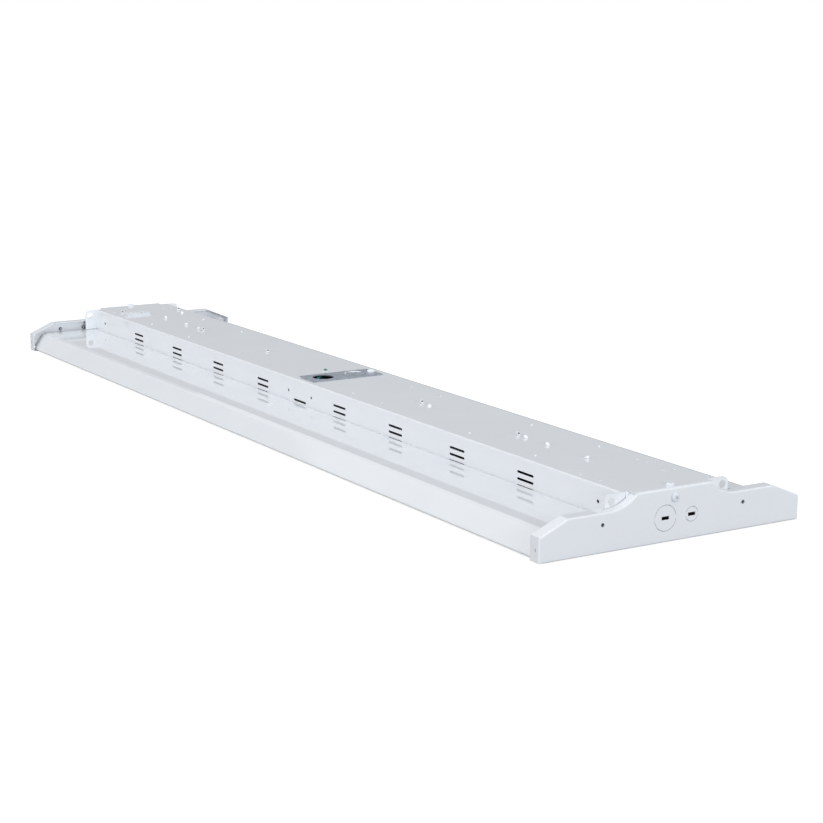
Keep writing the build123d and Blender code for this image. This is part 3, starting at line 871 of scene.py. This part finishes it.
@dataclass(frozen=True)
class ChannelTop:
    """Details of the channel's top face."""

    pierced_radius: float = 1.2 * MM
    collar_wall: float = 0.35 * MM
    collar_height: float = 0.55 * MM
    collar_steps: int = 20
    near_insets: tuple[Pair, ...] = (
        (50.0, 27.5), (50.0, 39.0), (76.0, 40.0), (84.0, 35.5), (95.0, 35.5), (415.5, 34.5), (471.0, 34.3))
    far_insets: tuple[Pair, ...] = ((46.0, 27.5), (46.0, 39.0))
    rivet_right: tuple[float, ...] = (178.0, 212.5)
    rivet_left: tuple[float, ...] = (119.0,)
    rivet_y: float = -2.0 * MM
    barb_back: float = -1.8 * MM
    barb_front: float = 2.7 * MM
    barb_crest: float = -0.432 * MM
    barb_height: float = 2.7 * MM
    barb_width: float = 2.6 * MM
    barb_rounding: float = 0.35 * MM
    barb_steps: int = 3
    barb_gap: float = 0.05 * MM
    rivet_head: float = 4.0 * MM
    rivet_head_shape: tuple[Pair, ...] = (
        (0.0, 0.0), (1.0, 0.0), (1.0, 0.9 * MM), (0.8, 1.6 * MM), (0.0, 1.6 * MM))
    rivet_stem: float = 1.2 * MM
    rivet_stem_rise: float = 0.5 * MM
    sheet: float = 0.8 * MM
    saddle_insets: tuple[float, ...] = (225.0, 393.0)
    far_saddles: tuple[Pair, ...] = ((67.0, 38.7), (57.0, -33.5))
    # Size, count, spacing and height of the dark beads that paint the shade in the saddles' openings.
    shade_bead_size: Point = (0.75 * MM, 1.2 * MM, 0.85 * MM)
    shade_bead_steps: int = 10
    shade_bead_spread: float = 1.25 * MM
    shade_bead_rise: float = 2.3 * MM

    def collar_tree(self) -> GeometryTree:
        """Build the tree of the raised collars round the pierced holes.

        Returns:
            The tree, which puts a collar on each point.
        """
        tree = GeometryTree("pierced_collars")
        radius = tree.size("Radius", self.pierced_radius + self.collar_wall / 2)
        height = tree.size("Height", self.collar_height)
        wall = tree.size("Wall", self.collar_wall)
        circle = tree.add("GeometryNodeCurvePrimitiveCircle", {
            "Resolution": self.collar_steps, "Radius": radius})
        profile = tree.add("GeometryNodeCurvePrimitiveQuadrilateral", {"Width": wall, "Height": height})
        sweep = tree.add("GeometryNodeCurveToMesh", {
            "Curve": circle.outputs["Curve"], "Profile Curve": profile.outputs["Curve"]})
        copies = tree.add("GeometryNodeInstanceOnPoints", {
            "Points": tree.places(), "Instance": sweep.outputs["Mesh"]})
        tree.close(copies.outputs["Instances"], FINISHES[Slot.PAINT].material())
        return tree

    def rivet(self) -> Object:
        """Make a push rivet: head and stem, and a barb that slopes down towards +X.

        Returns:
            The rivet, on the Z axis.
        """
        top = channel_top()
        low, crest = top + self.barb_gap, top + self.barb_height
        outline = [(self.barb_back, low), (self.barb_front, low), (self.barb_crest, crest),
                   (self.barb_back, crest)]
        barb = soften(prism("barb", outline, self.barb_width), self.barb_rounding, self.barb_steps)
        seat = top - self.sheet
        profile = [(share * self.rivet_head, seat - drop) for share, drop in self.rivet_head_shape]
        head = revolved("head", profile)
        stem_top = low + self.rivet_stem_rise
        stem = revolved("stem", [(0.0, seat), (self.rivet_stem, seat), (self.rivet_stem, stem_top),
                                 (0.0, stem_top)], steps=16)
        return joined("rivet", [barb, head, stem])

    def rivets(self) -> None:
        """Push rivets along the middle, each barb turned its own way."""
        end = half_length()
        for name, first, last, turn in (("push_rivets_smooth", self.rivet_right, self.rivet_left, 0.0),
                                        ("push_rivets_turned", self.rivet_left, self.rivet_right, 180.0)):
            xs = [end - inset * MM for inset in first] + [inset * MM - end for inset in last]
            piece = spread(name, self.rivet(), [(x, self.rivet_y, 0.0) for x in xs], Slot.NYLON, turn)
            if not turn:
                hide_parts("push_rivets")

    def collars(self) -> None:
        """Raised collars round the pierced holes."""
        end = half_length()
        top = channel_top()
        near = [(end - inset * MM, side * y * MM, top) for inset, y in self.near_insets for side in (-1, 1)]
        far = [(inset * MM - end, side * y * MM, top) for inset, y in self.far_insets for side in (-1, 1)]
        settle(self.collar_tree().make("pierced_collars", near + far))

    def saddle_openings(self) -> None:
        """Dark beads of painted shade in the openings of the wire saddles' heads."""
        end = half_length()
        top = channel_top() + self.shade_bead_rise
        turns = [math.pi * k / self.shade_bead_steps for k in range(self.shade_bead_steps + 1)]
        bead = revolved("bead", [(math.sin(turn), -math.cos(turn)) for turn in turns], steps=20)
        bead.data.transform(Matrix.Diagonal((*self.shade_bead_size, 1.0)))
        saddles = [(side * (end - inset * MM), self.rivet_y)
                   for inset in self.saddle_insets for side in (-1, 1)]
        saddles += [(inset * MM - end, y * MM) for inset, y in self.far_saddles]
        points = [(x + side * self.shade_bead_spread, y, top) for x, y in saddles for side in (-1, 1)]
        # The dark grey beads paint the shade inside the saddles' openings.
        spread("saddle_openings", bead, points, Slot.NYLON, finish=SHADE_GREY)

    def build(self) -> None:
        """Make every detail of the channel top."""
        self.collars()
        self.rivets()
        self.saddle_openings()


@dataclass(frozen=True)
class AccessPlate:
    """Details of the galvanised plate: its bright edge, the raised knockout rim with its painted highlight
    and the lead below.
    """

    edge_radius: float = 0.45 * MM
    edge_inset: float = 3.5 * MM
    edge_steps: int = 8
    knockout_y: float = 17.0 * MM
    knockout_radius: float = 10.7 * MM
    rim_wire: float = 0.8 * MM
    crescents: tuple[Pair, ...] = ((112.0, 200.0), (205.0, 262.0))
    crescent_steps: int = 14
    crescent_sides: int = 8
    lead_radius: float = 1.3 * MM
    lead_steps: int = 4
    lead_start_rise: float = 1.0 * MM
    lead_first_run: Point = (6.0, -8.0, -1.0)
    lead_route: tuple[Point, ...] = ((-14.0, -19.0, 43.3), (-8.0, -25.0, 42.6), (-2.0, -30.0, 38.0),
                                     (8.0, -32.0, 30.0))

    def edge(self) -> None:
        """Rounded front edge, which mirrors the sky."""
        low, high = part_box("access_plate")
        x, z = high.x - self.edge_radius, high.z - self.edge_radius
        turns = [math.pi * (k / self.edge_steps - 0.5) for k in range(self.edge_steps + 1)]
        section = [(x + self.edge_radius * math.cos(turn), z + self.edge_radius * math.sin(turn))
                   for turn in turns]
        bar = prism("access_plate_edge", section, high.y - low.y - 2 * self.edge_inset)
        painted(moved(bar, (0, (low.y + high.y) / 2, 0)), Slot.GALVANISED)

    def crescent(self, first: float, last: float) -> Object:
        """Make a round bar along an arc, thick in the middle and thin at its ends.

        Args:
            first: angle where it starts, in degrees.
            last: angle where it ends.

        Returns:
            The bar, round the Z axis.
        """
        steps, sides = self.crescent_steps, self.crescent_sides
        vertices = []
        for k in range(steps + 1):
            turn = math.radians(first + (last - first) * k / steps)
            swell = self.rim_wire * math.sin(math.pi * (k + 0.5) / (steps + 1))
            for corner in range(sides):
                lean = 2 * math.pi * corner / sides
                reach = self.knockout_radius + swell * math.cos(lean)
                vertices.append((reach * math.cos(turn), reach * math.sin(turn), swell * math.sin(lean)))
        caps = [tuple(range(sides)), tuple(range(sides * steps, sides * steps + sides))]
        return solid("crescent", vertices, walls(steps + 1, sides) + caps)

    def rim(self) -> None:
        """Raised crescents at the back of the knockout, coloured pale as a painted highlight on the rim."""
        place = (0, self.knockout_y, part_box("access_plate")[1].z)
        pieces = [moved(self.crescent(*arc), place) for arc in self.crescents]
        # The pale colour paints the rim's highlight.
        painted(joined("access_knockout_rim", pieces), Slot.GALVANISED, PALE_ZINC_AND_RIM_HIGHLIGHT)

    def lead(self) -> None:
        """Green lead that runs from the ground screw to the wires below the cable hole."""
        low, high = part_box("ground_screw")
        start = Vector(((low.x + high.x) / 2, 0.0, low.z + self.lead_start_rise))
        route = [start, start + Vector(self.lead_first_run) * MM]
        route += [Vector(place) * MM for place in self.lead_route]
        data = bpy.data.curves.new("lead_route", "CURVE")
        data.dimensions = "3D"
        spline = data.splines.new("NURBS")
        spline.points.add(len(route) - 1)
        for point, place in zip(spline.points, route):
            point.co = (*place, 1.0)
        spline.use_endpoint_u = True
        data.bevel_depth = self.lead_radius
        data.bevel_resolution = self.lead_steps
        data.use_fill_caps = True
        carrier = put("lead_carrier", data)
        mesh = finished_mesh(carrier)
        bpy.data.objects.remove(carrier)
        painted(put("ground_lead", mesh), Slot.GROUND_GREEN, LEAD_INSULATION)

    def build(self) -> None:
        """Make every detail of the plate."""
        self.edge()
        self.rim()
        self.lead()


@dataclass(frozen=True)
class SheetMarks:
    """Plunged collars of the end plates' holes and the small marks pressed into the sheets."""

    near_hole_y: float = 72.9 * MM
    far_hole_ys: tuple[float, ...] = (64.0 * MM, 94.5 * MM)
    hole_z: float = 23.6 * MM
    hole_radius: float = 1.65 * MM
    collar_wall: float = 0.4 * MM
    collar_foot: float = 0.25 * MM
    collar_foot_height: float = 0.5 * MM
    collar_depth: float = 1.8 * MM
    collar_mouth: Pair = (0.55, 0.3)
    sheet: float = 0.9 * MM
    bend: float = 1.6 * MM
    bend_steps: int = 6
    fill_drop: float = 0.04 * MM
    fills: tuple[tuple[float, float, float, float, float], ...] = (
        (37.3, 45.0, 0.0, 2.2, 9.0), (38.65, 44.75, 45.0, 0.9, 9.0), (66.16, 33.5, 0.0, 1.4, 9.0),
        (106.1, 33.5, 0.0, 0.9, 12.5), (106.82, 33.36, 23.0, 0.9, 12.5))
    web_inset: Pair = (8.9 * MM, 9.7 * MM)
    web_z: Pair = (41.0 * MM, 44.95 * MM)
    web_y: float = 41.2 * MM
    web_width: float = 5.2 * MM
    mark_place: Point = (-11.8 * MM, -78.6 * MM, 21.1 * MM)
    mark_radius: float = 4.2 * MM
    mark_wire: float = 0.45 * MM

    def hole_collars(self) -> None:
        """Collars that the plain holes of the end plates carry on the inside, coloured dark as painted shade
        in the holes.
        """
        seat = half_length() - self.sheet
        inner, outer = self.hole_radius, self.hole_radius + self.collar_wall
        mouth_outer, mouth_inner = self.collar_mouth
        profile = [(inner, 0.0), (outer + self.collar_foot, 0.0), (outer, self.collar_foot_height),
                   (mouth_outer * outer, self.collar_depth), (mouth_inner * inner, self.collar_depth),
                   (inner, 0.0)]
        places = [(end, side * y) for side in (-1, 1)
                  for end, y in ((1, self.near_hole_y), *((-1, y) for y in self.far_hole_ys))]
        pieces = [moved(revolved("collar", profile, steps=24), (end * seat, y, self.hole_z), (-end, 0, 0))
                  for end, y in places]
        # The collars' dark colour is painted shade for the holes.
        painted(joined("end_hole_collars", pieces), Slot.ZINC_SCREWS, HOLE_SHADE_STEEL)

    def fill_section(self, depth: float, end: int) -> list[Pair]:
        """Section of a flange with its bend, in X and in height over the outline.

        Args:
            depth: depth of the flange.
            end: 1 for the near end and -1 for the far one.

        Returns:
            The section's corners.
        """
        face = half_length()
        x, z = face - self.bend, -self.bend - self.fill_drop
        turns = [math.pi * k / (2 * self.bend_steps) for k in range(self.bend_steps + 1)]
        outer = [(x + self.bend * math.cos(turn), z + self.bend * math.sin(turn)) for turn in turns]
        small = self.bend - self.sheet
        inner = [(x + small * math.cos(turn), z + small * math.sin(turn)) for turn in reversed(turns)]
        tip = face - depth
        section = outer + [(tip, outer[-1][1]), (tip, inner[0][1])] + inner
        return [(end * place, height) for place, height in section]

    def web(self, side: int, end: int) -> Object:
        """Make the upright web between the crown and an ear.

        Args:
            side: -1 for the left side and 1 for the right one.
            end: 1 for the near end and -1 for the far one.

        Returns:
            The web, in its place.
        """
        face = half_length()
        first, last = sorted(end * (face - inset) for inset in self.web_inset)
        low, high = self.web_z
        outline = [(first, low), (last, low), (last, high), (first, high)]
        return moved(prism("web", outline, self.web_width), (0, side * self.web_y, 0))

    def corner_fills(self) -> None:
        """Closed corners where two flanges of an end plate meet."""
        pieces = []
        for y, z, tilt, wide, depth in self.fills:
            lean = math.radians(tilt)
            for side in (-1, 1):
                up = (0, side * math.sin(lean), math.cos(lean))
                for end in (-1, 1):
                    fill = prism("fill", self.fill_section(depth * MM, end), wide * MM)
                    pieces.append(moved(fill, (0, side * y * MM, z * MM), up))
        pieces += [self.web(side, end) for side in (-1, 1) for end in (-1, 1)]
        painted(joined("corner_fills", pieces), Slot.PAINT)

    def wing_mark(self) -> None:
        """Ring pressed into the top of the left wing."""
        mark = ring("wing_pressed_ring", self.mark_radius, self.mark_wire)
        painted(moved(mark, self.mark_place), Slot.PAINT)

    def build(self) -> None:
        """Make every mark."""
        self.hole_collars()
        self.corner_fills()
        self.wing_mark()


def dress_nodes(nodes: dict[str, Object], subparts: list[dict[str, str]]) -> None:
    """Give each CAD node, which keeps its shape, the material of its slot.

    Args:
        nodes: the nodes by name.
        subparts: the record's rows, which name each node's slot.
    """
    for row in subparts:
        node = nodes[row["node"]]
        finish = NODE_FINISHES.get(row["node"], FINISHES[Slot(row["material_slot"])])
        node.data.materials.clear()
        node.data.materials.append(finish.material())
        logger.info("%s: %s", node.name, finish.name)


@dataclass(frozen=True)
class Lamp:
    """One square soft lamp, which points at the origin."""

    name: str
    place: Point
    size: float
    watts: float
    colour: Colour

    def build(self) -> None:
        """Make the lamp, unseen by the camera and by gloss."""
        data = bpy.data.lights.new(self.name, "AREA")
        data.size = self.size
        data.energy = self.watts
        data.color = self.colour
        lamp = put(self.name, data)
        lamp.location = self.place
        lamp.rotation_mode = "QUATERNION"
        lamp.rotation_quaternion = (-Vector(self.place)).to_track_quat("-Z", "Y")
        lamp.visible_glossy = False
        lamp.visible_camera = False


@dataclass(frozen=True)
class Studio:
    """Pale floor, white background, soft lamps and the photograph's camera."""

    camera_place: Point = (1.78984, -1.00125, 0.44101)
    azimuth: float = 58.703
    elevation: float = 11.94
    roll: float = 0.096
    lens: float = 86.75
    sensor: float = 36.0
    sight: float = 100.0
    white: Colour = (1.0, 1.0, 1.0)
    ambient: Colour = (0.97, 0.985, 1.0)
    ambient_strength: float = 0.66
    sky_mirrored: Colour = (0.7, 0.7, 0.7)
    floor_shade: Colour = (0.42, 0.42, 0.42)
    floor_glow: float = 0.75
    floor_half: float = 12.0
    floor_drop: float = 0.0002
    card_colour: Colour = (0.94, 0.97, 1.0)
    card_grade: tuple[float, ...] = (1.2, 2.9, 0.46, 0.25)
    card_radius: float = 9.0
    card_heights: Pair = (0.2, 3.5)
    card_steps: int = 48
    lamps: tuple[Lamp, ...] = (
        Lamp("overhead", (-1.0, -1.0, 9.0), 5.0, 160.0, (0.89, 0.945, 1.0)),
        Lamp("front", (30.0, -1.8, 5.25), 9.6, 3600.0, (0.94, 0.97, 1.0)),
        Lamp("side", (0.2, -4.5, 1.4), 2.2, 61.0, (1.0, 1.0, 0.99)))

    def camera(self) -> None:
        """Make the camera at the photograph's place."""
        data = bpy.data.cameras.new("camera")
        data.lens = self.lens
        data.sensor_width = self.sensor
        data.clip_end = self.sight
        camera = put("camera", data)
        az, el, roll = (math.radians(angle) for angle in (self.azimuth, self.elevation, self.roll))
        back = Vector((math.sin(az) * math.cos(el), -math.cos(az) * math.cos(el), math.sin(el)))
        side = Vector((0, 0, 1)).cross(back).normalized()
        rise = back.cross(side)
        right = math.cos(roll) * side + math.sin(roll) * rise
        up = -math.sin(roll) * side + math.cos(roll) * rise
        turn = Matrix((right, up, back)).transposed()
        camera.matrix_world = Matrix.Translation(self.camera_place) @ turn.to_4x4()
        bpy.context.scene.camera = camera

    def world(self) -> None:
        """White for the camera, a light grey for mirrors and soft ambient light for the rest."""
        world = bpy.data.worlds.new("studio")
        bpy.context.scene.world = world
        world.use_nodes = True
        kit = NodeKit(world.node_tree)
        white = kit.plain("ShaderNodeBackground", self.white)
        calm = kit.plain("ShaderNodeBackground", self.sky_mirrored)
        soft = kit.plain("ShaderNodeBackground", self.ambient, self.ambient_strength)
        path = kit.add("ShaderNodeLightPath")
        rays = ("Camera", "Transmission", "Glossy")
        seen, passed, mirrored = (path.outputs[f"Is {ray} Ray"] for ray in rays)
        either = kit.add("ShaderNodeMath", {0: seen, 1: passed}, operation="MAXIMUM")
        glossy = kit.add("ShaderNodeMixShader", {0: mirrored, 1: soft.outputs[0], 2: calm.outputs[0]})
        mix = kit.add("ShaderNodeMixShader", {
            0: either.outputs[0], 1: glossy.outputs[0], 2: white.outputs[0]})
        kit.show(mix, "ShaderNodeOutputWorld")

    def staged(self, mesh: Mesh, material_name: str) -> tuple[Object, NodeKit]:
        """Add a mesh of the studio with an empty material.

        Args:
            mesh: the mesh, which also names the object.
            material_name: name of its material.

        Returns:
            The object and the material's nodes.
        """
        item = put(mesh.name, mesh)
        material = bpy.data.materials.new(material_name)
        material.use_nodes = True
        mesh.materials.append(material)
        item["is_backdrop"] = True
        return item, NodeKit(material.node_tree)

    def floor(self) -> None:
        """Pale floor that fades to white but keeps the light's shadow."""
        mesh = bpy.data.meshes.new("floor")
        half, low = self.floor_half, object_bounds()[0].z - self.floor_drop
        mesh.from_pydata([(-half, -half, low), (half, -half, low), (half, half, low), (-half, half, low)], [],
                         [(0, 1, 2, 3)])
        kit = self.staged(mesh, "pale_floor")[1]
        matt = kit.plain("ShaderNodeBsdfDiffuse", self.floor_shade)
        glow = kit.plain("ShaderNodeEmission", self.white)
        path = kit.add("ShaderNodeLightPath")
        lift = kit.add("ShaderNodeMath", {0: path.outputs["Is Camera Ray"], 1: self.floor_glow},
                       operation="MULTIPLY")
        kit.link(lift.outputs[0], glow.inputs["Strength"])
        kit.show(kit.add("ShaderNodeAddShader", {0: matt.outputs[0], 1: glow.outputs[0]}))

    def flag(self) -> None:
        """Grey card all round at the horizon, which only gloss and metal mirror."""
        mesh = bpy.data.meshes.new("flag")
        steps, radius = self.card_steps, self.card_radius
        turns = [2 * math.pi * k / steps for k in range(steps)]
        points = [(radius * math.cos(turn), radius * math.sin(turn), z)
                  for z in self.card_heights for turn in turns]
        mesh.from_pydata(points, [], walls(len(self.card_heights), steps))
        card, kit = self.staged(mesh, "grey_card")
        glow = kit.plain("ShaderNodeEmission", self.card_colour)
        height = kit.add("ShaderNodeSeparateXYZ", {0: kit.add("ShaderNodeTexCoord").outputs["Object"]})
        limits = dict(zip(("From Min", "From Max", "To Min", "To Max"), self.card_grade))
        grade = kit.add("ShaderNodeMapRange", {"Value": height.outputs["Z"], **limits})
        kit.link(grade.outputs["Result"], glow.inputs["Strength"])
        kit.show(glow)
        card.visible_camera = False
        card.visible_diffuse = False
        card.visible_shadow = False
        card.visible_transmission = False

    def build(self) -> None:
        """Make the whole studio."""
        self.camera()
        self.world()
        self.floor()
        self.flag()
        for lamp in self.lamps:
            lamp.build()


def main() -> None:
    """Load the frame and build every sub-assembly in order."""
    logging.basicConfig(level=logging.INFO, format="%(message)s")
    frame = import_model()
    bpy.context.scene.view_settings.view_transform = "Standard"
    Studio().build()
    dress_nodes(frame["nodes"], frame["record"]["subparts"])
    for assembly in (Fasteners(), ChannelTop(), AccessPlate(), SheetMarks()):
        assembly.build()


if __name__ == "__main__":
    main()
